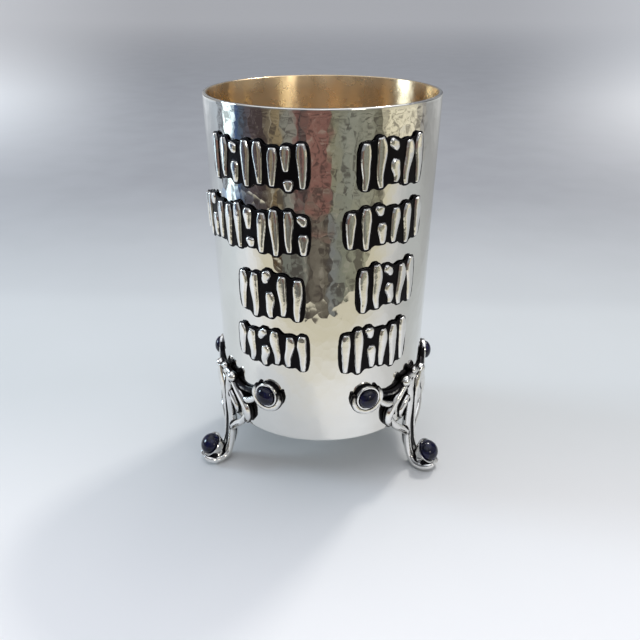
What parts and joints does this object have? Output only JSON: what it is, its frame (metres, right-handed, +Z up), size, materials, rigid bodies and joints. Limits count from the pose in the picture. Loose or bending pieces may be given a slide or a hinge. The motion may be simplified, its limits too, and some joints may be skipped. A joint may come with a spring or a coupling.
{
  "type": "kiddush cup",
  "caption": "Hammered silver wine cup with a gilt bowl, raised stroke plaques and scroll feet set with dark blue stones.",
  "frame": {"origin": "centre of the footprint, on the plane that the feet stand on; the cup's own axis is 4 mm in front of it", "axes": "+Z up, the front with the two columns of plaques towards -Y, the back foot towards +Y"},
  "size_m": [0.0754, 0.0768, 0.1116],
  "materials": {
    "hammered_silver": "polished hammered silver, gilt inside",
    "cast_silver": "polished cast silver with black patina in the recesses",
    "blackened_silver": "polished raised strokes on a blackened plate",
    "blue_stone": "polished dark blue cabochon"
  },
  "bodies": {
    "root": {"cup_body": "hammered_silver", "foot_left": "cast_silver", "foot_right": "cast_silver", "foot_back": "cast_silver", "stone_left_toe": "blue_stone", "stone_left_arm_left": "blue_stone", "stone_left_arm_right": "blue_stone", "stone_right_toe": "blue_stone", "stone_right_arm_left": "blue_stone", "stone_right_arm_right": "blue_stone", "stone_back_toe": "blue_stone", "stone_back_arm_left": "blue_stone", "stone_back_arm_right": "blue_stone", "word_left_1": "blackened_silver", "word_left_2": "blackened_silver", "word_left_3": "blackened_silver", "word_left_4": "blackened_silver", "word_right_1": "blackened_silver", "word_right_2": "blackened_silver", "word_right_3": "blackened_silver", "word_right_4": "blackened_silver"}
  },
  "joints": []
}
